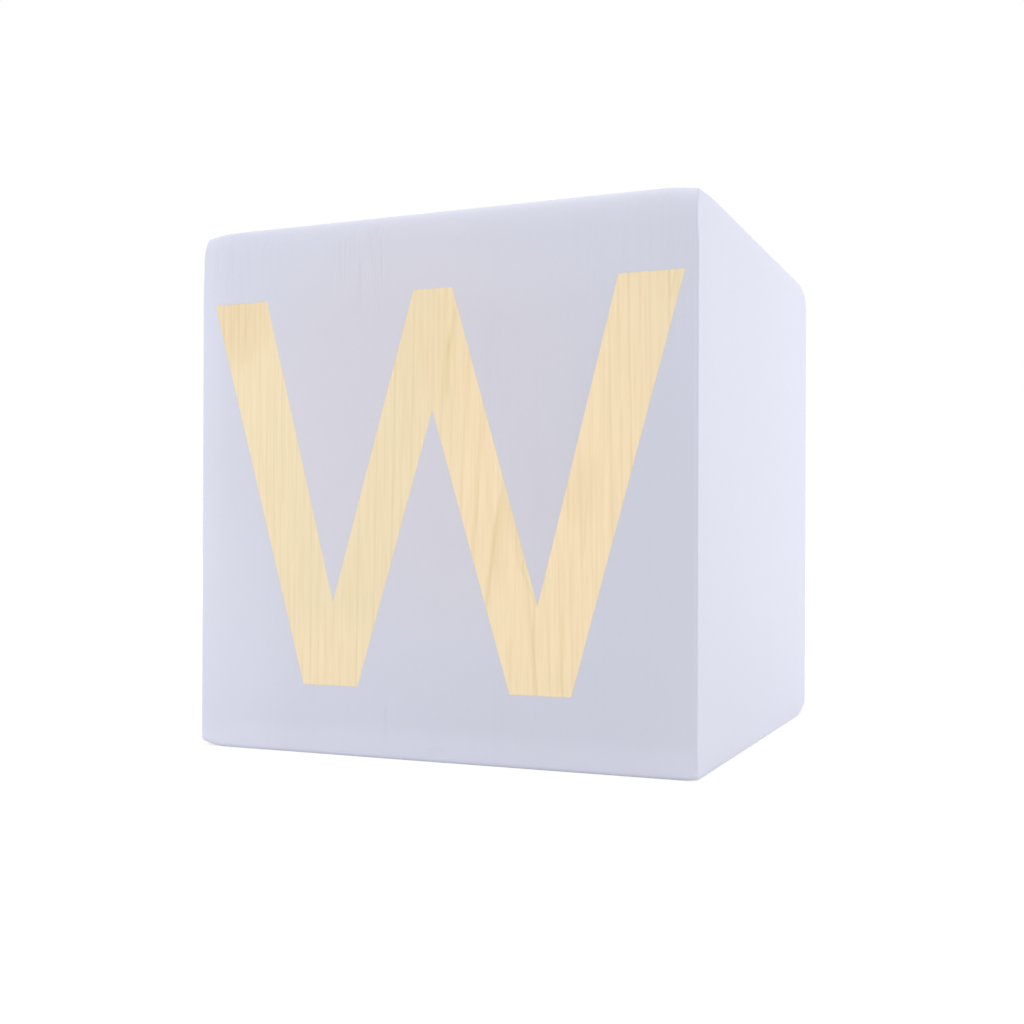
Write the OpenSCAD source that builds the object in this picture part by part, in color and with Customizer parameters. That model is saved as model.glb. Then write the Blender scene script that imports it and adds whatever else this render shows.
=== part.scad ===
// Alphabet block: a hollow wooden cube with a capital letter let into its front.
// Four boards with upright grain meet in mitres, held by splines, and a cap closes each end.
// The origin is at the middle of the base, +Z is up and the letter faces -Y.

/* [Block] */
// Outside length of each side of the cube
block_side = 100; // [80:1:160]
// Thickness of the four side boards
board_t = 12; // [10:0.5:16]
// Radius of the sanded round along the upright outer edges
upright_round = 0.8; // [0.4:0.1:2]
// Radius of the softer round along the top and base edges, across the end grain
end_round = 1.8; // [0.5:0.1:2.5]

/* [Caps] */
// Thickness of the top and base caps, and depth of the rabbets that hold them
cap_t = 9; // [6:0.5:12]
// Width of the rim that the boards keep around a cap
rim_w = 5; // [3:0.5:7]
// Glue gap on each side of a cap
cap_gap = 0.1; // [0.05:0.05:0.3]

/* [Splines] */
// Width of a spline across its mitre, half of it in each board
spline_w = 7; // [5:0.5:8]
// Thickness of a spline along its mitre
spline_t = 3; // [2:0.5:4]
// Glue gap on each side of a spline
spline_gap = 0.1; // [0.05:0.05:0.2]

/* [Letter] */
// Thickness of the inlaid letter, and depth of its pocket
letter_t = 1.5; // [1:0.25:2]
// Painted margin on each side of the letter, before its shift
letter_side_margin = 3; // [2.75:0.25:10]
// How far the letter's middle lies to the right of the front's middle
letter_shift = 0.65; // [-1:0.05:1]
// Painted margin above the letter
letter_top_margin = 14.2; // [8:0.2:20]
// Painted margin below the letter
letter_base_margin = 13; // [8:0.5:20]
// Flat width at the top of each outer stroke
arm_w = 11.8; // [8:0.2:14]
// Flat width at the top of the middle peak
peak_w = 7.8; // [5:0.2:10]
// Flat width of each of the two feet
foot_w = 11.6; // [8:0.2:14]
// Glue gap all round the letter
letter_gap = 0.1; // [0.05:0.05:0.2]

/* [Hidden] */
// How far a cutting shape runs past the face that it cuts
overrun = 1;
// Where a spline's middle lies along its mitre, from the inside corner
spline_place_share = 0.27;
// Where each foot's middle and each valley lie, out from the letter's middle
foot_place_share = 0.449;
valley_place_share = 0.438;
// How high the valleys and the notch under the peak lie in the letter
valley_rise_share = 0.216;
notch_rise_share = 0.698;

half_side = block_side / 2;
inner_half = half_side - board_t;
ledge_w = board_t - rim_w;
cap_side = block_side - 2 * (rim_w + cap_gap);
mitre_len = board_t * sqrt(2);
spline_place = mitre_len * spline_place_share;
spline_len = block_side - 2 * cap_t;
letter_half_w = half_side - letter_side_margin;
letter_h = block_side - letter_top_margin - letter_base_margin;
foot_place = letter_half_w * foot_place_share;
valley_place = letter_half_w * valley_place_share;
valley_rise = letter_h * valley_rise_share;
notch_rise = letter_h * notch_rise_share;

paint = [0.84, 0.84, 0.89];
maple = [0.94, 0.87, 0.72];
birch = [0.84, 0.72, 0.54];

$fn = 64;

// The pocket's outline seen from the front, clockwise from its upper left corner
letter_outline = [
    [-letter_half_w, letter_h],
    [arm_w - letter_half_w, letter_h],
    [-valley_place, valley_rise],
    [-peak_w / 2, letter_h],
    [peak_w / 2, letter_h],
    [valley_place, valley_rise],
    [letter_half_w - arm_w, letter_h],
    [letter_half_w, letter_h],
    [foot_place + foot_w / 2, 0],
    [foot_place - foot_w / 2, 0],
    [0, notch_rise],
    [foot_w / 2 - foot_place, 0],
    [-foot_place - foot_w / 2, 0]
];

// The unit normal that points into a clockwise outline from its edge between two points
function inward(from, to) = let (along = (to - from) / norm(to - from)) [along.y, -along.x];

// A clockwise outline with every edge moved inward by the same gap
function inset_outline(points, gap) = [
    for (i = [0 : len(points) - 1])
        let (
            count = len(points),
            here = points[i],
            first = inward(points[(i + count - 1) % count], here),
            second = inward(here, points[(i + 1) % count])
        )
        here + gap * (first + second) / (1 + first * second)
];

// The cube's square outline with its corners rounded, centred on the origin
module rounded_square(corner_round) {
    round_place = half_side - corner_round;
    square([block_side, 2 * round_place], center = true);
    square([2 * round_place, block_side], center = true);
    for (x = [-round_place, round_place], y = [-round_place, round_place])
        translate([x, y]) circle(r = corner_round);
}

// The front board seen from above: its ends are mitred at 45 degrees
module board_plan() {
    intersection() {
        rounded_square(upright_round);
        polygon([
            [-half_side, -half_side],
            [half_side, -half_side],
            [inner_half, -inner_half],
            [-inner_half, -inner_half]
        ]);
    }
}

// The front board seen from its end, centred on mid height: a rabbet at the top and one at the base
module board_section() {
    difference() {
        intersection() {
            rounded_square(end_round);
            translate([-half_side, -half_side]) square([board_t, block_side]);
        }
        for (way = [0, 1])
            mirror([0, way])
                translate([rim_w - half_side, half_side - cap_t])
                    square([ledge_w + overrun, cap_t + overrun]);
    }
}

// A strip that lies across the front right mitre, from ledge to ledge
module mitre_strip(width, thickness) {
    translate([inner_half, -inner_half, cap_t])
        rotate([0, 0, -45])
            translate([spline_place - thickness / 2, -width / 2, 0])
                cube([thickness, width, spline_len]);
}

// One side board in the front position, with a spline groove in each mitred end
module board() {
    difference() {
        intersection() {
            translate([0, 0, -overrun])
                linear_extrude(block_side + 2 * overrun) board_plan();
            translate([0, 0, half_side])
                rotate([90, 0, 90])
                    linear_extrude(block_side + 2 * overrun, center = true) board_section();
        }
        for (turn = [0, -90])
            rotate([0, 0, turn])
                mitre_strip(spline_w + 2 * spline_gap, spline_t + 2 * spline_gap);
    }
}

// A plate of the given outline and thickness, its back on the floor of the letter's pocket
module letter_plate(outline, thickness) {
    translate([letter_shift, letter_t - half_side, letter_base_margin])
        rotate([90, 0, 0])
            linear_extrude(thickness) polygon(outline);
}

module cap() {
    translate([-cap_side / 2, -cap_side / 2, 0]) cube([cap_side, cap_side, cap_t]);
}

module front_panel() {
    color(paint)
        difference() {
            board();
            letter_plate(letter_outline, letter_t + overrun);
        }
}

module right_panel() {
    color(paint) rotate([0, 0, 90]) board();
}

module back_panel() {
    color(paint) rotate([0, 0, 180]) board();
}

module left_panel() {
    color(paint) rotate([0, 0, 270]) board();
}

module top_cap() {
    color(paint) translate([0, 0, block_side - cap_t]) cap();
}

module bottom_cap() {
    color(paint) cap();
}

module letter_inlay() {
    color(maple) letter_plate(inset_outline(letter_outline, letter_gap), letter_t);
}

module front_right_spline() {
    color(birch) mitre_strip(spline_w, spline_t);
}

module back_right_spline() {
    color(birch) rotate([0, 0, 90]) mitre_strip(spline_w, spline_t);
}

module back_left_spline() {
    color(birch) rotate([0, 0, 180]) mitre_strip(spline_w, spline_t);
}

module front_left_spline() {
    color(birch) rotate([0, 0, 270]) mitre_strip(spline_w, spline_t);
}

front_panel();
right_panel();
back_panel();
left_panel();
top_cap();
bottom_cap();
letter_inlay();
front_left_spline();
front_right_spline();
back_right_spline();
back_left_spline();
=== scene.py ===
# %% [markdown]
# # A painted alphabet block with an inlaid letter
# The block is a hollow wooden cube of 100 mm. Four side boards with upright grain meet in mitres,
# loose splines lock the mitres, a cap closes the top and another the base, and a maple letter lies
# flush in the front. The CAD model fixes every size and place. This lesson gives the pieces their
# hand-sanded skin, their paint and their wood, and then lights and photographs them.

# %% Load the frame
import math

import bmesh
import bpy
import numpy as np
from mathutils import Matrix, Vector


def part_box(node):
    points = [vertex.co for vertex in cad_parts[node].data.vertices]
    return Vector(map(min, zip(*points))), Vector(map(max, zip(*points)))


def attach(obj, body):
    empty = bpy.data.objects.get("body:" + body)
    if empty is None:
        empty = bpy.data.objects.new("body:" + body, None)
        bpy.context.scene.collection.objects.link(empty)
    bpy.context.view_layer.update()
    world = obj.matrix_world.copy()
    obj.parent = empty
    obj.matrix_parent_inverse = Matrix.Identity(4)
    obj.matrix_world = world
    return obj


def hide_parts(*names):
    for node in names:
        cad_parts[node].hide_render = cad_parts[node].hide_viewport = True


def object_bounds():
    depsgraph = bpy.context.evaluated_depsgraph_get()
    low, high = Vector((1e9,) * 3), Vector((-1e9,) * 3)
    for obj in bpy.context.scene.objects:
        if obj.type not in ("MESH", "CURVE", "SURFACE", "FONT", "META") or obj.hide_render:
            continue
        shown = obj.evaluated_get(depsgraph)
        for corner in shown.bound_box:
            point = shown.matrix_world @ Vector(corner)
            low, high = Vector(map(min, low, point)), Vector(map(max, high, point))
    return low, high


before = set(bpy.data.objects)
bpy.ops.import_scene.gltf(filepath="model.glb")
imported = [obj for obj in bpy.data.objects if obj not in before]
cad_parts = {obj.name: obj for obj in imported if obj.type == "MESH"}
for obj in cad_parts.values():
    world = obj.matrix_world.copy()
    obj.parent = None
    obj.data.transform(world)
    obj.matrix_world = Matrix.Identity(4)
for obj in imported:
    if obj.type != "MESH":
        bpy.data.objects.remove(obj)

mm = 0.001
cad_low, cad_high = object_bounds()
print("CAD box in mm:", [round(side / mm, 2) for side in cad_high - cad_low])

# %% [markdown]
# ## Sizes from the frame
# Nothing is measured twice: the block's side, the boards, the caps and the letter all take their sizes
# from the CAD pieces. The one value added here is the glue gap that the CAD model leaves around
# each piece that is let into another.

# %% Measure the CAD pieces
glue_gap = 0.1 * mm
block_side = cad_high.z - cad_low.z
half_side = block_side / 2
block_middle = np.array([0, 0, half_side])
front_low, front_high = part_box("front_panel")
board_t = front_high.y - front_low.y
cap_low, cap_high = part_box("top_cap")
cap_t = cap_high.z - cap_low.z
cap_half = cap_high.x
rim_w = half_side - cap_half - glue_gap
letter_low, letter_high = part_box("letter_inlay")
letter_t = letter_high.y - letter_low.y
print("board, cap, rim and letter in mm:",
      [round(size / mm, 2) for size in (board_t, cap_t, rim_w, letter_t)])

# %% [markdown]
# ## The camera
# The photograph was taken from low down and close by, a little to the right of the block: the eye sits
# at less than half of the block's height, so that neither the top nor the base shows. A perspective
# camera is placed in the block's own frame and turned by yaw, pitch and a trace of roll. The lens is
# written as a focal length in pixels of the square picture, which is how such a view is measured. The
# upright edges stay parallel in the picture, so the camera looked level and the frame was cut a little
# above the middle of the lens. A small shift does that, where a tilt would make the edges lean together.

# %% Place the camera
picture_px = 1024
focal_px = 1310.4
sensor_w = 36.0
shift_px = 34.8
camera_place = Vector((105.64, -263.15, 39.78)) * mm
camera_yaw = math.radians(22.723)
camera_pitch = math.radians(-0.166)
camera_roll = math.radians(0.17)


def camera_turn(yaw, pitch, roll):
    """The camera's axes as a rotation: yaw left of +Y, pitch above the horizon, roll about the view."""
    ahead = Vector((-math.sin(yaw) * math.cos(pitch), math.cos(yaw) * math.cos(pitch), math.sin(pitch)))
    right = Vector((math.cos(yaw), math.sin(yaw), 0))
    up = right.cross(ahead)
    rolled_right = math.cos(roll) * right + math.sin(roll) * up
    rolled_up = math.cos(roll) * up - math.sin(roll) * right
    return Matrix((rolled_right, rolled_up, -ahead)).transposed()


lens = bpy.data.cameras.new("camera")
lens.sensor_width = sensor_w
lens.lens = focal_px * sensor_w / picture_px
lens.shift_y = shift_px / picture_px
lens.clip_start = 1 * mm
camera = bpy.data.objects.new("camera", lens)
camera.matrix_world = Matrix.Translation(camera_place) @ camera_turn(
    camera_yaw, camera_pitch, camera_roll).to_4x4()
bpy.context.scene.collection.objects.link(camera)
bpy.context.scene.camera = camera
print("lens in mm:", round(lens.lens, 2))

# %% [markdown]
# ## The sanded skin
# A maker glues the box together, lets the letter in, and only then sands everything as one cube. So
# one rule for the whole skin is better than a bevel on each piece: boards, caps and letter stay flush, and
# edges run on across the mitres. The rule starts from a sharp cube and draws each point near an edge onto
# an oval round. Along the top the paper is rolled over the end grain, so that oval is tall and shallow,
# and deepest at the front, while the upright edges and the base only lose their sharpness.

# %% Rounds of the edges
side_reach = 0.6 * mm
top_reach = 5.5 * mm
top_depth = 0.6 * mm
front_top_depth = 1.75 * mm
base_reach = 0.8 * mm
reach_wobble_share = 0.2
# Upright edges that are rounder than the near one: signs of X and Y, and how much further the round goes
rounder_edges = [((-1, -1), 0.2 * mm), ((1, 1), 0.4 * mm), ((-1, 1), 0.4 * mm)]
rounder_run = 5 * mm
wave_count = 8
wave_shortest, wave_longest = 16 * mm, 60 * mm
wave_draw = np.random.default_rng(7)


def smooth(value, start, end):
    """0 at start and before, 1 at end and after, with an easy curve between."""
    share = np.clip((value - start) / (end - start), 0, 1)
    return share * share * (3 - 2 * share)


def drawn_waves():
    """Directions and phases of a few long waves that cross the block."""
    ways = wave_draw.normal(size=(wave_count, 3))
    ways /= np.linalg.norm(ways, axis=1, keepdims=True)
    lengths = wave_draw.uniform(wave_shortest, wave_longest, wave_count)
    return 2 * np.pi * ways / lengths[:, None], wave_draw.uniform(0, 2 * np.pi, wave_count)


def waves(points, drawn):
    """A smooth value from -1 to 1 at each point."""
    ways, phases = drawn
    return np.sin(points @ ways.T + phases).sum(axis=1) / wave_count


reach_waves = drawn_waves()
skin_waves = drawn_waves()


def round_reaches(points):
    """How far the rounds reach at each point along X, Y and Z."""
    at_top = smooth(points[:, 2], block_side - 2 * top_reach, block_side - top_reach)
    rounder = np.zeros(len(points))
    for signs, extra in rounder_edges:
        away = np.linalg.norm(points[:, :2] - half_side * np.array(signs), axis=1)
        rounder = rounder + extra * np.exp(-((away / rounder_run) ** 2))
    end_depth = np.where(points[:, 1] < 0, front_top_depth, top_depth)
    sideways = side_reach + rounder + (top_depth - side_reach) * at_top
    endways = side_reach + rounder + (end_depth - side_reach) * at_top
    upright = np.where(points[:, 2] > half_side, top_reach, base_reach)
    upright = upright * (1 + reach_wobble_share * waves(points, reach_waves))
    return np.stack([sideways, endways, upright], axis=1)


print("rounds in mm: upright edges", side_reach / mm, "top", top_reach / mm, "base", base_reach / mm)

# %% [markdown]
# ## Worn corners
# Corners and the ends of edges take the knocks. There the paper or a fall has taken wood away from
# above or below, so the top dips towards a corner and the base rises, while the upright edge stays
# crisp right up to the end. Each worn place is a soft hollow around a point of the top or the base. The
# left end of the front has been sanded more than the rest, so it falls back a little towards its edge.
# Besides these the whole skin waves by a few hundredths of a millimetre, as hand-sanded wood does.

# %% Worn corners
wave_depth = 0.05 * mm
wear_run = 8 * mm
fall_depth = 0.34 * mm
fall_run = 7 * mm
fall_top_share = 2.1
# Worn places: X and Y as shares of the half side, how deep, and how far the hollow reaches along X and Y
top_wear = [
    ((-1, -1), 0.75 * mm, (3.6 * mm, 3.6 * mm)),
    ((1, -1), 0.60 * mm, (3.0 * mm, 7.0 * mm)),
    ((0.93, -1), 0.24 * mm, (1.3 * mm, 1.3 * mm)),
    ((1, 1), 0.60 * mm, (4.0 * mm, 3.0 * mm)),
    ((-1, 1), 0.70 * mm, (4.5 * mm, 4.0 * mm)),
]
base_wear = [
    ((-1, -1), 0.85 * mm, (2.6 * mm, 2.6 * mm)),
    ((1, -1), 0.25 * mm, (1.6 * mm, 1.6 * mm)),
    ((1, 1), 1.65 * mm, (4.4 * mm, 5.0 * mm)),
    ((-1, 1), 0.60 * mm, (3.5 * mm, 3.5 * mm)),
]


def hollow(points, worn):
    """How far the top or the base is worn away at each point."""
    depth = np.zeros(len(points))
    for shares, deep, reach in worn:
        away = (points[:, :2] - half_side * np.array(shares)) / np.array(reach)
        depth = depth + deep * np.exp(-(away ** 2).sum(axis=1))
    return depth


def fall_back(points):
    """How far the left end of the front falls back, most at its edge and towards the top."""
    to_edge = np.clip((fall_run - half_side - points[:, 0]) / fall_run, 0, 1)
    at_front = smooth(-points[:, 1], half_side - fall_run, half_side)
    height_share = 1 + (fall_top_share - 1) * points[:, 2] / block_side
    return fall_depth * to_edge ** 2 * at_front * height_share


def sanded(points, sink):
    """Points of the sharp cube on the sanded skin, those of the top and base sunk by a further distance."""
    reaches = round_reaches(points)
    centred = points - block_middle
    core = np.clip(centred, reaches - half_side, half_side - reaches)
    outward = centred - core
    outward = outward / np.linalg.norm(outward / reaches, axis=1, keepdims=True)
    waved = wave_depth * (1 + waves(points, skin_waves)) / 2
    skin = core + outward * (1 - waved / np.linalg.norm(outward, axis=1))[:, None]
    at_end = smooth(np.abs(centred[:, 2]), half_side - wear_run, half_side)
    worn = np.where(centred[:, 2] > 0, hollow(points, top_wear), hollow(points, base_wear))
    skin[:, 2] -= np.sign(centred[:, 2]) * (at_end * worn + sink)
    skin[:, 1] += fall_back(points)
    return block_middle + skin


print("worn places:", len(top_wear), "at the top and", len(base_wear), "at the base")

# %% [markdown]
# ## Colours and small helpers for materials
# Colours are written as the eight-bit values that a paint card or a picture editor shows, and turned into
# the linear light that a shader needs. Every material is a small graph of nodes, so one helper adds a
# node, sets its values and links what comes from other nodes.

# %% Helpers for materials
def colour(red, green, blue):
    """A shader's colour from eight-bit values of a picture."""
    shares = np.array([red, green, blue]) / 255
    linear = np.where(shares <= 0.04045, shares / 12.92, ((shares + 0.055) / 1.055) ** 2.4)
    return (*linear.tolist(), 1.0)


def join(tree, value, socket):
    """Links a node's result to a socket, or sets the socket to a plain value."""
    if isinstance(value, bpy.types.NodeSocket):
        tree.links.new(value, socket)
    else:
        socket.default_value = value


def add(tree, kind, inputs=None, **settings):
    """A new node of a kind, with its inputs set or linked."""
    made = tree.nodes.new("ShaderNode" + kind)
    for name, value in settings.items():
        setattr(made, name, value)
    for name, value in (inputs or {}).items():
        join(tree, value, made.inputs[name])
    return made


def maths(tree, operation, first, second=0.0, third=0.0):
    """The result of one sum on two or three numbers or sockets."""
    return add(tree, "Math", {0: first, 1: second, 2: third}, operation=operation).outputs[0]


def eased(tree, value, start, end):
    """0 at start, 1 at end, eased between."""
    made = add(tree, "MapRange", {"Value": value, "From Min": start, "From Max": end},
               interpolation_type="SMOOTHSTEP")
    return made.outputs["Result"]


def noise(tree, place, stretch, detail=2.0, roughness=0.5):
    """A noise value around 0.5 whose features have the given sizes in metres along X, Y and Z."""
    scale = tuple(1 / size for size in stretch)
    scaled = add(tree, "VectorMath", {0: place, 1: scale}, operation="MULTIPLY").outputs[0]
    made = add(tree, "TexNoise", {"Vector": scaled, "Scale": 1.0, "Detail": detail, "Roughness": roughness})
    return made.outputs["Fac"]


def blended(tree, share, first, second):
    """A colour between two others."""
    made = tree.nodes.new("ShaderNodeMix")
    made.data_type = "RGBA"
    sides = {"Factor_Float": share, "A_Color": first, "B_Color": second}
    for socket in made.inputs:
        if socket.identifier in sides:
            join(tree, sides[socket.identifier], socket)
    return next(socket for socket in made.outputs if socket.identifier == "Result_Color")


def new_material(name):
    """An empty material with its shader and the place on the piece in metres."""
    material = bpy.data.materials.new(name)
    material.use_nodes = True
    tree = material.node_tree
    shader = tree.nodes["Principled BSDF"]
    place = add(tree, "TexCoord").outputs["Object"]
    return material, tree, shader, place


print("a mid grey of 188 is", [round(part, 3) for part in colour(188, 188, 188)[:3]], "in linear light")

# %% [markdown]
# ## Marks at given places
# Most of a finish comes from noise, but some marks have a place of their own: a warm patch, a streak in
# the maple, a rib of grain that stands out. An image could hold them, but it would blur close by. Two
# helpers mark them on the front by formula instead, as soft ovals and as thin streaks between two points.

# %% Ovals and streaks
def ovals(tree, place, marks):
    """How strongly soft ovals cover a point: middle X and Z, half width and height in mm, and strength."""
    across, _, up = add(tree, "SeparateXYZ", {0: place}).outputs
    cover = 0.0
    for middle_x, middle_z, half_w, half_h, strength in marks:
        aside = maths(tree, "DIVIDE", maths(tree, "SUBTRACT", across, middle_x * mm), half_w * mm)
        above = maths(tree, "DIVIDE", maths(tree, "SUBTRACT", up, middle_z * mm), half_h * mm)
        away = maths(tree, "MULTIPLY_ADD", aside, aside, maths(tree, "MULTIPLY", above, above))
        cover = maths(tree, "MULTIPLY_ADD", eased(tree, away, 1.0, 0.0), strength, cover)
    return cover


def streaks(tree, place, marks):
    """How strongly thin streaks cover a point: X and Z of both ends and half width in mm, and strength."""
    across, _, up = add(tree, "SeparateXYZ", {0: place}).outputs
    cover = 0.0
    for start_x, start_z, end_x, end_z, half_w, strength in marks:
        run_x, run_z = (end_x - start_x) * mm, (end_z - start_z) * mm
        length = math.hypot(run_x, run_z)
        right = maths(tree, "SUBTRACT", across, start_x * mm)
        above = maths(tree, "SUBTRACT", up, start_z * mm)
        along = maths(tree, "MULTIPLY_ADD", right, run_x / length ** 2,
                      maths(tree, "MULTIPLY", above, run_z / length ** 2))
        away = maths(tree, "ABSOLUTE", maths(
            tree, "MULTIPLY_ADD", right, run_z / length, maths(tree, "MULTIPLY", above, -run_x / length)))
        within = maths(tree, "MULTIPLY", eased(tree, along, 0.0, 0.3), eased(tree, along, 1.0, 0.7))
        shown = maths(tree, "MULTIPLY", within, eased(tree, away, half_w * mm, 0.0))
        cover = maths(tree, "MULTIPLY_ADD", shown, strength, cover)
    return cover


print("marks are drawn by", ovals.__name__, "and", streaks.__name__)

# %% [markdown]
# ## Paint
# The block wears a pale lavender-white satin paint, thin enough that the upright grain of the boards stands
# through it in places as fine ribs. A flat colour would look like plastic. So two close tones drift
# into each other, a roller's stipple gives the film a little tooth, and thin grooves follow the grain in
# patches, painted a little darker as painted shade in them. The grain's stretch is given per piece: upright
# on the boards, across on the caps. On the rims the same field is cut square, and reads as end grain. The
# front adds marks of its own: a warmer middle, which is painted warm reflected light, places painted lighter
# or darker as painted light and shade, a painted highlight along the near edge's round that offsets the
# shade there, ribs near its top that stand out and are painted darker as painted shade, a few specks of
# dust in the film and a shallow dent at its base edge.

# %% Paint
paint_cool = colour(207, 209.4, 224.6)
paint_warm = colour(208.5, 207.2, 218.3)
paint_roughness = 0.48
micron = 0.001 * mm
stipple_size = 0.6 * mm
stipple_rise = 3.0
groove_w = 1.1 * mm
groove_len = 38 * mm
groove_rise = 16.0
rib_rise = 26.0
speck_rise = 40.0
dent_rise = 90.0
painted_groove_shade = 0.03


def paint(name, grain, painted_warm_light=(), painted_light_and_shade=(), grained=(), ribs=(), specks=(), dents=()):
    """Satin paint over wood whose grooves have the given sizes along X, Y and Z, with marks, painted light
    and painted shade on the front.
    """
    material, tree, shader, place = new_material(name)
    drift = eased(tree, noise(tree, place, (40 * mm,) * 3), 0.4, 0.7)
    # Random drift of tone, plus the warm middle, which is painted warm reflected light
    tone_drift_and_painted_warm_light = maths(tree, "MULTIPLY_ADD", drift, 0.2, ovals(tree, place, painted_warm_light))
    stipple = noise(tree, place, (stipple_size,) * 3, detail=3.0, roughness=0.6)
    from_middle = maths(tree, "ABSOLUTE", maths(
        tree, "SUBTRACT", noise(tree, place, grain, detail=1.0), 0.5))
    patchy = eased(tree, noise(tree, place, tuple(9 * size for size in grain)), 0.5, 0.66)
    shown = maths(tree, "MULTIPLY_ADD", patchy, 0.5, ovals(tree, place, grained))
    groove = maths(tree, "MULTIPLY", eased(tree, from_middle, 0.07, 0.0), shown)
    rib = streaks(tree, place, ribs)
    # Grooves and ribs are painted a little darker: painted shade in them
    shade = maths(tree, "MULTIPLY", maths(tree, "ADD", groove, rib), -painted_groove_shade)
    # Painted light and shade: ovals that paint the front lighter or darker, one a painted highlight on the
    # near edge
    level = maths(tree, "ADD", ovals(tree, place, painted_light_and_shade), 0.985)
    lightness = maths(tree, "ADD", maths(tree, "MULTIPLY_ADD", stipple, 0.03, level), shade)
    film = add(tree, "HueSaturation", {"Value": lightness, "Color": blended(
        tree, tone_drift_and_painted_warm_light, paint_cool, paint_warm)})
    join(tree, film.outputs[0], shader.inputs["Base Color"])
    height = maths(tree, "MULTIPLY", stipple, stipple_rise)
    for mark, rise in ((groove, -groove_rise), (rib, -rib_rise), (streaks(tree, place, specks), speck_rise),
                       (ovals(tree, place, dents), -dent_rise)):
        height = maths(tree, "MULTIPLY_ADD", mark, rise, height)
    bump = add(tree, "Bump", {"Height": height, "Distance": micron})
    join(tree, bump.outputs[0], shader.inputs["Normal"])
    shader.inputs["Roughness"].default_value = paint_roughness
    return material


# Marks on the front, in mm as the helpers for ovals and streaks take them
# The warm middle is painted warm reflected light
painted_warm_light_middle = [(-1, 62, 50, 50, 1.0)]
# Painted light and shade on the front, the last a painted highlight along the near edge's round
painted_light_and_shade_places = [(37, 44, 24, 44, -0.03), (-52, 14, 26, 44, 0.05), (5, 0, 110, 7, 0.055),
                 (20, 12, 46, 12, -0.018), (10, 95, 55, 15, 0.025), (49.8, 50, 0.7, 90, 0.055)]
grained_places = [(-14.5, 92, 9, 11, 0.9), (-43, 92, 8, 12, 0.8), (-33, 95, 6, 6, 0.6),
                  (40, 86, 13, 24, 0.4)]
upright_ribs = [
    (-18.4, 99, -18.3, 86, 0.35, 1.0), (-17.3, 99, -17.4, 86, 0.3, 0.8), (-14.4, 97, -14.2, 89, 0.3, 0.7),
    (-9.8, 98, -9.8, 87, 0.35, 0.8), (-45.8, 98.5, -45.8, 90, 0.35, 0.9), (-38.8, 98, -38.6, 87, 0.35, 0.6),
    (-8.5, 12.5, -8.7, 2.0, 0.5, 0.9),
]
dust_specks = [(5.4, 95.2, 5.4, 94.0, 0.4, 1.0), (24.2, 89.6, 24.3, 88.6, 0.35, 1.0),
               (21.5, 75.0, 21.5, 74.0, 0.35, 0.8), (-10.6, 83.9, -10.5, 82.7, 0.4, 1.0)]
base_dents = [(2.0, 1.4, 2.4, 1.6, 1.0)]
upright_grain = (groove_w, groove_w, groove_len)
level_grain = (groove_len, groove_w, groove_w)
front_paint = paint("front_paint", upright_grain, painted_warm_light_middle, painted_light_and_shade_places, grained_places,
                    upright_ribs, dust_specks, base_dents)
board_paint = paint("board_paint", upright_grain)
cap_paint = paint("cap_paint", level_grain)
print("paints:", front_paint.name, board_paint.name, cap_paint.name)

# %% [markdown]
# ## Bare wood inside
# The mitres, the rabbets and the splines are bare wood that nobody sees once the box is glued. They still
# get a plain straight grain, because a piece may be looked at by itself. Rings are the bands of a
# wave across the grain, drawn along it and unsettled by noise.

# %% Bare wood
def bare_wood(name, pale, dark, ring_w):
    """Straight-grained sawn wood with upright rings of the given width."""
    material, tree, shader, place = new_material(name)
    unsettled = noise(tree, place, (4 * mm, 4 * mm, 60 * mm), detail=3.0)
    across, along, _ = add(tree, "SeparateXYZ", {0: place}).outputs
    ring = maths(tree, "DIVIDE", maths(tree, "ADD", across, along), ring_w)
    late = maths(tree, "FRACT", maths(tree, "MULTIPLY_ADD", unsettled, 2.0, ring))
    fibre = noise(tree, place, (0.2 * mm, 0.2 * mm, 9 * mm), detail=2.0)
    share = maths(tree, "MULTIPLY", eased(tree, late, 0.3, 1.0), fibre)
    join(tree, blended(tree, share, pale, dark), shader.inputs["Base Color"])
    bump = add(tree, "Bump", {"Height": fibre, "Distance": 20 * micron})
    join(tree, bump.outputs[0], shader.inputs["Normal"])
    shader.inputs["Roughness"].default_value = 0.75
    return material


board_wood = bare_wood("board_wood", colour(232, 214, 178), colour(214, 188, 144), 1.6 * mm)
spline_birch = bare_wood("spline_birch", colour(222, 196, 152), colour(196, 164, 118), 1.1 * mm)
print("bare woods:", board_wood.name, spline_birch.name)

# %% [markdown]
# ## Maple for the letter
# The letter is cut from one piece of maple, so one field of growth rings has to run through all four
# strokes. A flat-sawn board is a slice beside the heart of the tree: right over the heart the rings
# open into arches, and to both sides they close up into straight lines. Instead of drawing lines, the
# material measures each point's distance from a leaning heart behind the face, divides it by
# the ring width, and darkens the end of every ring. Arches and straight grain then follow by themselves.
# Fine broken fibres run along the grain. A bent mineral streak under the middle peak and a few leaning
# lines are marked one by one, because no rule puts them there.

# %% Maple
maple_pale = colour(239.5, 222, 185)
maple_warm = colour(247, 225.5, 187)
maple_late = colour(219, 192, 145)
maple_mineral = colour(222, 203, 148)
heart_x = 15.5 * mm
heart_deep = 11 * mm
heart_z = 52 * mm
heart_lean = 0.042
ring_w = 1.62 * mm
ring_start = 0.21
ring_wander = 1.2 * mm
fibre_w = 0.55 * mm
fibre_len = 14 * mm
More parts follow.
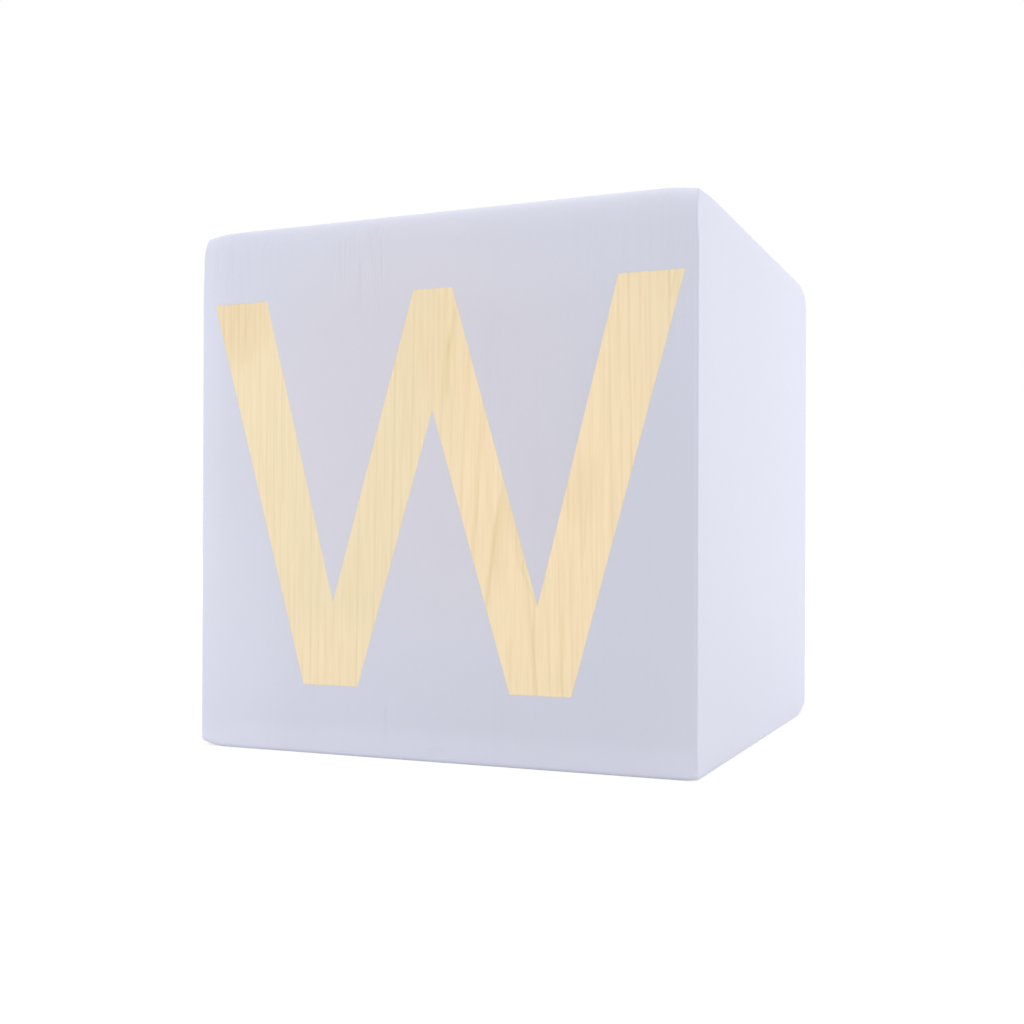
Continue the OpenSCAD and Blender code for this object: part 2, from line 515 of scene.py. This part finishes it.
# Places in the maple, in mm as the helpers for ovals and streaks take them
# Painted light: ovals where the maple is painted lighter and warmer, most of all right of the middle
maple_painted_light_places = [(24, 48, 32, 75, 1.0), (-21, 15, 14, 14, 0.6)]
dull_places = [(-42, 84, 10, 13, 0.33), (29, 49, 5, 8, 0.1), (5, 74, 13, 24, 0.09),
               (15, 46, 10, 18, 0.06)]
leaning_streaks = [
    (5.6, 84, 3.5, 72, 0.8, 0.35), (3.9, 79, 3.5, 64, 0.85, 0.4), (10.0, 54, 9.3, 40, 0.45, 0.4),
    (14.2, 50, 11.2, 26, 0.5, 0.45), (20.6, 35, 20.8, 10, 0.5, 0.35), (25.7, 32, 25.8, 10, 0.55, 0.35),
    (17.2, 38, 21.3, 28, 0.5, 0.3), (16.2, 25, 16.0, 12, 0.35, 0.25), (30.4, 50, 29.7, 36, 0.45, 0.35),
    (46.3, 87, 44.8, 80, 0.4, 0.3),
]


def maple(name):
    """Sanded flat-sawn maple with one field of rings."""
    material, tree, shader, place = new_material(name)
    across, _, up = add(tree, "SeparateXYZ", {0: place}).outputs
    slow = noise(tree, place, (14 * mm, 14 * mm, 70 * mm), detail=2.0)
    wander = maths(tree, "MULTIPLY", maths(tree, "SUBTRACT", slow, 0.5), ring_wander)
    aside = maths(tree, "ADD", maths(tree, "SUBTRACT", across, heart_x), wander)
    deep = maths(tree, "MULTIPLY_ADD", maths(tree, "SUBTRACT", up, heart_z), heart_lean, heart_deep)
    from_heart = maths(tree, "SQRT", maths(
        tree, "MULTIPLY_ADD", aside, aside, maths(tree, "MULTIPLY", deep, deep)))
    ring = maths(tree, "ADD", maths(tree, "DIVIDE", from_heart, ring_w), ring_start)
    year = add(tree, "TexWhiteNoise", {"W": maths(tree, "FLOOR", ring)}, noise_dimensions="1D")
    strong = maths(tree, "MULTIPLY_ADD", year.outputs["Value"], 0.2, 0.03)
    within = maths(tree, "FRACT", ring)
    late = maths(tree, "MULTIPLY", eased(tree, within, 0.62, 0.9), eased(tree, within, 1.0, 0.93))
    fibre = noise(tree, place, (fibre_w, fibre_w, fibre_len), detail=3.0, roughness=0.6)
    lines = maths(tree, "MULTIPLY", late, strong)
    lines = maths(tree, "MULTIPLY_ADD", maths(tree, "SUBTRACT", fibre, 0.4), 0.8, lines)
    lines = maths(tree, "ADD", lines, ovals(tree, place, dull_places))
    drift = eased(tree, noise(tree, place, (16 * mm, 16 * mm, 50 * mm)), 0.4, 0.75)
    # Random drift of tone, plus ovals of painted light
    tone_drift_and_painted_light = maths(tree, "MULTIPLY_ADD", drift, 0.25, ovals(tree, place, maple_painted_light_places))
    ground = blended(tree, tone_drift_and_painted_light, maple_pale, maple_warm)
    grained = blended(tree, lines, ground, maple_late)
    streaked = blended(tree, streaks(tree, place, leaning_streaks), grained, maple_mineral)
    join(tree, streaked, shader.inputs["Base Color"])
    bump = add(tree, "Bump", {"Height": fibre, "Distance": 6 * micron})
    join(tree, bump.outputs[0], shader.inputs["Normal"])
    shader.inputs["Roughness"].default_value = 0.55
    return material


letter_maple = maple("letter_maple")
print("maple:", letter_maple.name, "with rings of", ring_w / mm, "mm")

# %% [markdown]
# ## Side boards
# Each side board is a mitred plank with a rabbet at the top and one at the base. One way is a bevelled
# box, but its bevels would stop at the mitres and differ from board to board. Here the board's cross
# section is drawn once, point by point, and swept between the two mitre planes. The points that
# lie on the outside of the cube then go through the sanding rule. They stand close together near the edges,
# where the skin bends, and a millimetre apart on the flat.

# %% Points along a board
first_step = 0.03 * mm
step_growth = 1.22
flat_step = 1.0 * mm
seam_round = 0.15 * mm
seam_turns = np.radians([0, 30, 60, 90])


def graded(length):
    """Places along a length, close together at its start."""
    steps = [first_step]
    while sum(steps) < length:
        steps.append(min(steps[-1] * step_growth, flat_step))
    places = np.cumsum([0] + steps)
    return places * length / places[-1]


def graded_both(length):
    """Places along a length, close together at both ends."""
    half = graded(length / 2)
    return np.concatenate([half, length - half[-2::-1]])


def rim_points():
    """Distances from the outside along a rim, and how far each point is under the skin at the cap's seam."""
    flat = graded(rim_w - seam_round)
    turned = rim_w - seam_round + seam_round * np.sin(seam_turns[1:])
    sinks = seam_round * (1 - np.cos(seam_turns[1:]))
    return np.concatenate([flat, turned]), np.concatenate([np.zeros(len(flat)), sinks])


board_heights = graded_both(block_side)
print("points up a board:", len(board_heights), "and along a rim:", len(rim_points()[0]))

# %% Cross section and sweep
def board_section():
    """The section as depth behind the face, height, distance under the skin, and whether it is skin."""
    rim, sinks = rim_points()
    face = board_heights[1:-1]
    depth = np.concatenate([rim[::-1], 0 * face, rim, [rim_w, board_t, board_t, rim_w]])
    height = np.concatenate([0 * rim, face, 0 * rim + block_side,
                             [block_side - cap_t, block_side - cap_t, cap_t, cap_t]])
    sink = np.concatenate([sinks[::-1], 0 * face, sinks, np.zeros(4)])
    skin = np.arange(len(depth)) < len(depth) - 4
    return depth, height, sink, skin


def turned(points, quarter_turns):
    """Points turned about the upright axis, front to right for one quarter turn."""
    angle = quarter_turns * math.pi / 2
    ahead, aside = math.cos(angle), math.sin(angle)
    turn = np.array([[ahead, -aside, 0], [aside, ahead, 0], [0, 0, 1]])
    return points @ turn.T


def board_points(quarter_turns):
    """Every point of a board, section by section along it, and the number of sections' points."""
    depth, height, sink, skin = board_section()
    shares = 2 * graded_both(block_side) / block_side - 1
    out = half_side - depth
    sharp = np.stack(np.broadcast_arrays(
        shares[:, None] * out, -out[None, :], height[None, :]), axis=-1).reshape(-1, 3)
    sharp = turned(sharp, quarter_turns)
    is_skin = np.tile(skin, len(shares))
    points = sharp.copy()
    points[is_skin] = sanded(sharp[is_skin], np.tile(sink, len(shares))[is_skin])
    return points, len(shares), skin


def board_faces(sections, skin):
    """Quads between neighbouring sections, a face on each mitre, and each face's material."""
    ring = len(skin)
    faces = []
    bare = []
    for section in range(sections - 1):
        for here in range(ring):
            after = (here + 1) % ring
            low, high = section * ring, (section + 1) * ring
            faces.append((low + here, low + after, high + after, high + here))
            bare.append(0 if skin[here] and skin[after] and after > here else 1)
    faces.append(tuple(range(ring))[::-1])
    faces.append(tuple(range((sections - 1) * ring, sections * ring)))
    return faces, bare + [1, 1]


def new_piece(name, points, faces, materials, material_of_face):
    """A mesh object with outward faces."""
    mesh = bpy.data.meshes.new(name)
    mesh.from_pydata(points.tolist(), [], faces)
    for material in materials:
        mesh.materials.append(material)
    mesh.polygons.foreach_set("material_index", material_of_face)
    shell = bmesh.new()
    shell.from_mesh(mesh)
    bmesh.ops.recalc_face_normals(shell, faces=shell.faces)
    shell.to_mesh(mesh)
    shell.free()
    piece = bpy.data.objects.new(name, mesh)
    bpy.context.scene.collection.objects.link(piece)
    return piece


boards = {}
for quarter_turns, (side, coat) in enumerate(
        [("front", front_paint), ("right", board_paint), ("back", board_paint), ("left", board_paint)]):
    points, sections, skin = board_points(quarter_turns)
    faces, bare = board_faces(sections, skin)
    boards[side] = new_piece(f"painted_{side}_board", points, faces, [coat, board_wood], bare)
    print(side, "board:", len(points), "points")

# %% [markdown]
# ## Cutters for the grooves and the pocket
# A router cuts the spline grooves and the letter's pocket, so they are cut from the boards in the same way,
# as Boolean differences. The groove follows the CAD spline with the glue gap added. The pocket follows the
# outline of the CAD letter, walked along the border of its front face.

# %% Cutters
cutter_overrun = 1 * mm
diagonals = np.array([[1, 1, 0], [1, -1, 0]]) / math.sqrt(2)
strip_axes = np.vstack([diagonals, [0, 0, 1]])
box_signs = np.array([[x, y, z] for x in (-1, 1) for y in (-1, 1) for z in (-1, 1)])
box_faces = [(0, 1, 3, 2), (4, 6, 7, 5), (0, 4, 5, 1), (2, 3, 7, 6), (0, 2, 6, 4), (1, 5, 7, 3)]


def groove_points(spline):
    """The corners of the groove around a spline."""
    corners = np.array([vertex.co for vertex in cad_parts[spline].data.vertices])
    along = corners @ strip_axes.T
    middle = (along.min(axis=0) + along.max(axis=0)) / 2
    reach = (along.max(axis=0) - along.min(axis=0)) / 2 + [glue_gap, glue_gap, cutter_overrun]
    return (middle + box_signs * reach) @ strip_axes


def front_outline(node):
    """The points around a plate's front face in order, as X and Z."""
    shell = bmesh.new()
    shell.from_mesh(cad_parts[node].data)
    bmesh.ops.remove_doubles(shell, verts=shell.verts, dist=0.001 * mm)
    border = {}
    for face in shell.faces:
        if face.normal.y < -0.9:
            for loop in face.loops:
                if loop.link_loop_radial_next.face.normal.y > -0.9:
                    border[loop.vert] = loop.link_loop_next.vert
    walk = [next(iter(border))]
    while border[walk[-1]] is not walk[0]:
        walk.append(border[walk[-1]])
    outline = np.array([(vertex.co.x, vertex.co.z) for vertex in walk])
    shell.free()
    return outline


def grown(outline, by):
    """An outline with every edge moved outward, its points in order counter-clockwise."""
    before = outline - np.roll(outline, 1, axis=0)
    after = np.roll(outline, -1, axis=0) - outline
    sides = [np.stack([way[:, 1], -way[:, 0]], axis=1) / np.linalg.norm(way, axis=1, keepdims=True)
             for way in (before, after)]
    meet = 1 + (sides[0] * sides[1]).sum(axis=1, keepdims=True)
    return outline + by * (sides[0] + sides[1]) / meet


def plate(outline, front_y, back_y):
    """Points and faces of a flat plate with the given outline."""
    count = len(outline)
    points = np.array([(x, y, z) for y in (front_y, back_y) for x, z in outline])
    faces = [tuple(range(count)), tuple(range(2 * count - 1, count - 1, -1))]
    faces += [(here, here + count, (here + 1) % count + count, (here + 1) % count) for here in range(count)]
    return points, faces


letter_outline = front_outline("letter_inlay")
print("letter outline:", len(letter_outline), "points")

# %% [markdown]
# ## Cut the boards and the letter
# The letter was glued in before the block was sanded, so its face is part of the same skin. It is made as
# the common part of the uncut front board and a letter-shaped plate, and the pocket as the board less
# a plate that is a hair larger. The glue and the paint close the gap on the real block, so only that hair
# is left open.

# %% Cut
inlay_hair = 0.01 * mm
letter_front_y = -half_side - cutter_overrun
letter_back_y = -half_side + letter_t


def combined(piece, cutter, way):
    """Applies a Boolean to a piece, and removes the cutter."""
    change = piece.modifiers.new(way.lower(), "BOOLEAN")
    change.operation = way
    change.object = cutter
    change.solver = "EXACT"
    change.material_mode = "INDEX"
    result = bpy.data.meshes.new_from_object(
        piece.evaluated_get(bpy.context.evaluated_depsgraph_get()))
    piece.modifiers.clear()
    used = [piece.data, cutter.data]
    piece.data = result
    bpy.data.objects.remove(cutter)
    for mesh in used:
        bpy.data.meshes.remove(mesh)


def cutter_of(shapes):
    """One cutting object from several closed shapes, whose cuts show bare wood."""
    points = np.concatenate([shape_points for shape_points, _ in shapes])
    faces = []
    start = 0
    for shape_points, shape_faces in shapes:
        faces += [tuple(start + index for index in face) for face in shape_faces]
        start += len(shape_points)
    return new_piece("cutter", points, faces, [board_wood, board_wood], [1] * len(faces))


letter = boards["front"].copy()
letter.data = letter.data.copy()
letter.name = "maple_letter"
bpy.context.scene.collection.objects.link(letter)
letter_plate = plate(grown(letter_outline, glue_gap - inlay_hair), letter_front_y, letter_back_y)
combined(letter, cutter_of([letter_plate]), "INTERSECT")
letter.data.materials.clear()
letter.data.materials.append(letter_maple)
letter.data.polygons.foreach_set("material_index", [0] * len(letter.data.polygons))

corner_splines = {
    "front": ("front_left_spline", "front_right_spline"),
    "right": ("front_right_spline", "back_right_spline"),
    "back": ("back_right_spline", "back_left_spline"),
    "left": ("back_left_spline", "front_left_spline"),
}
for side, piece in boards.items():
    shapes = [(groove_points(spline), box_faces) for spline in corner_splines[side]]
    if side == "front":
        shapes.append(plate(grown(letter_outline, glue_gap), letter_front_y, letter_back_y))
    combined(piece, cutter_of(shapes), "DIFFERENCE")
    print(side, "board after cutting:", len(piece.data.polygons), "faces")
print("letter:", len(letter.data.polygons), "faces")

# %% [markdown]
# ## Caps
# A cap is a square plate that lies in the rabbets, with a hair of a seam around it. Only its outer face is
# part of the skin. It is a closed grid, fine at its border, where the seam's tiny round is, and a
# millimetre apart elsewhere. The same sanding rule keeps it flush with the rims.

# %% Caps
def cap_grid():
    """Places across a cap, and how far each lies under the skin at the seam."""
    turned_in = seam_round * (1 - np.sin(seam_turns[::-1]))
    sinks = seam_round * (1 - np.cos(seam_turns[::-1]))
    count = round(2 * (cap_half - seam_round) / flat_step)
    flat = np.linspace(seam_round - cap_half, cap_half - seam_round, count + 1)
    places = np.concatenate([turned_in[:-1] - cap_half, flat, cap_half - turned_in[-2::-1]])
    return places, np.concatenate([sinks[:-1], 0 * flat, sinks[-2::-1]])


def cap_points(outer_z, inner_z):
    """The outer and the inner grid of a cap, one after the other."""
    places, sinks = cap_grid()
    x, y = [axis.ravel() for axis in np.meshgrid(places, places, indexing="ij")]
    sink = np.maximum.outer(sinks, sinks).ravel()
    outer = sanded(np.stack([x, y, 0 * x + outer_z], axis=1), sink)
    return np.concatenate([outer, np.stack([x, y, 0 * x + inner_z], axis=1)]), len(places)


def cap_faces(side):
    """Quads of both grids of a cap, and of its four walls."""
    def at(i, j, layer):
        return layer * side * side + i * side + j
    steps = [(i, j) for i in range(side - 1) for j in range(side - 1)]
    faces = [(at(i, j, 0), at(i + 1, j, 0), at(i + 1, j + 1, 0), at(i, j + 1, 0)) for i, j in steps]
    faces += [(at(i, j, 1), at(i, j + 1, 1), at(i + 1, j + 1, 1), at(i + 1, j, 1)) for i, j in steps]
    last = side - 1
    walk = ([(i, 0) for i in range(last)] + [(last, j) for j in range(last)]
            + [(i, last) for i in range(last, 0, -1)] + [(0, j) for j in range(last, 0, -1)])
    for here, after in zip(walk, walk[1:] + walk[:1]):
        faces.append((at(*here, 0), at(*here, 1), at(*after, 1), at(*after, 0)))
    return faces, len(steps)


caps = {}
for place, outer_z, inner_z in (("top", block_side, block_side - cap_t), ("base", 0, cap_t)):
    points, side = cap_points(outer_z, inner_z)
    faces, outer_count = cap_faces(side)
    bare = [0] * outer_count + [1] * (len(faces) - outer_count)
    caps[place] = new_piece(f"painted_{place}_cap", points, faces, [cap_paint, board_wood], bare)
    print(place, "cap:", len(faces), "faces")

# %% [markdown]
# ## Join the pieces to the frame
# Every piece is shaded smooth, with creases only where it turns sharply, rides on the block's one body
# and stands for its CAD piece. The splines keep their CAD shape and only get their wood.

# %% Join
crease_angle = math.radians(40)
stands_for = {
    "front_panel": boards["front"], "right_panel": boards["right"],
    "back_panel": boards["back"], "left_panel": boards["left"],
    "top_cap": caps["top"], "bottom_cap": caps["base"], "letter_inlay": letter,
}
for node, piece in stands_for.items():
    piece.data.shade_smooth()
    piece.data.set_sharp_from_angle(angle=crease_angle)
    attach(piece, "root")
    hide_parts(node)
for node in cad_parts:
    if node.endswith("_spline"):
        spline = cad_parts[node]
        spline.data.materials.clear()
        spline.data.materials.append(spline_birch)

# %% [markdown]
# ## Floor and world
# The photograph was made in a bright white room with no visible edge. A white floor fades into a white
# world. More light would bleach the paint, so the floor is lifted only where it is looked at: by just enough
# near the block that its shadow stays along the base, and to plain white further off, where it has to
# meet the world without a line. The light that floor and world give the block is set apart from that: to
# light that bounces off it the floor is white, while the floor that is seen starts from a greyer ground,
# so that the lamps and the lift together come out at white.

# %% Floor and world
floor_half = 3.0
floor_white = (0.8, 0.8, 0.8, 1.0)
floor_grey = (0.3, 0.3, 0.3, 1.0)
floor_lift = 0.74
lift_start, lift_end = 0.25, 0.8
sky_level = 0.722


def seen_directly(tree):
    """1 for rays from the camera, or from glossy or clear surfaces, else 0."""
    path = add(tree, "LightPath").outputs
    mirrored = maths(tree, "MAXIMUM", path["Is Glossy Ray"], path["Is Transmission Ray"])
    return maths(tree, "MAXIMUM", path["Is Camera Ray"], mirrored)


floor_mesh = bpy.data.meshes.new("floor")
floor_corners = [(x * floor_half, y * floor_half, 0) for x, y in ((-1, -1), (1, -1), (1, 1), (-1, 1))]
floor_mesh.from_pydata(floor_corners, [], [(0, 1, 2, 3)])
floor = bpy.data.objects.new("floor", floor_mesh)
bpy.context.scene.collection.objects.link(floor)
floor_material, tree, shader, place = new_material("floor_white")
seen = seen_directly(tree)
join(tree, blended(tree, seen, floor_white, floor_grey), shader.inputs["Base Color"])
shader.inputs["Roughness"].default_value = 1.0
shader.inputs["Specular IOR Level"].default_value = 0.0
shader.inputs["Emission Color"].default_value = (1, 1, 1, 1)
from_block = add(tree, "VectorMath", {0: place}, operation="LENGTH").outputs["Value"]
far_share = eased(tree, from_block, lift_start, lift_end)
further = maths(tree, "MULTIPLY_ADD", far_share, 1 - floor_lift, floor_lift)
join(tree, maths(tree, "MULTIPLY", seen, further), shader.inputs["Emission Strength"])
floor_mesh.materials.append(floor_material)

world = bpy.data.worlds.new("white_room")
world.use_nodes = True
tree = world.node_tree
glow = tree.nodes["Background"]
glow.inputs["Color"].default_value = (1, 1, 1, 1)
glow.inputs["Strength"].default_value = sky_level
white = add(tree, "Background", {"Color": (1, 1, 1, 1), "Strength": 1.0})
both = add(tree, "MixShader", {0: seen_directly(tree), 1: glow.outputs[0], 2: white.outputs[0]})
join(tree, both.outputs[0], tree.nodes["World Output"].inputs["Surface"])
bpy.context.scene.world = world
print("floor", 2 * floor_half, "m wide, sky at", sky_level)

# %% [markdown]
# ## Lamps
# Three soft lamps shape the block. One stands low and close on the right and lights the bare side, one
# stands close on the left of the front, so that the light falls off across it, and the largest hangs
# overhead and brings out the round along the top. None of them is seen itself.

# %% Lamps
def soft_lamp(name, place, size, watts):
    """A square lamp that faces the middle of the block."""
    light = bpy.data.lights.new(name, "AREA")
    light.size = size
    light.energy = watts
    lamp = bpy.data.objects.new(name, light)
    lamp.location = place
    lamp.rotation_euler = (Vector(block_middle) - Vector(place)).to_track_quat("-Z", "Y").to_euler()
    lamp.visible_camera = False
    bpy.context.scene.collection.objects.link(lamp)
    return lamp


soft_lamp("right_lamp", (0.375, 0.175, 0.115), 0.22, 0.495)
soft_lamp("left_lamp", (-0.36, -0.25, 0.11), 0.20, 0.365)
soft_lamp("top_lamp", (0.06, -0.18, 0.95), 0.90, 4.2)

# %% [markdown]
# ## Finish
# Colours are shown as they are, with no film curve.

# %% Finish
bpy.context.scene.view_settings.view_transform = "Standard"
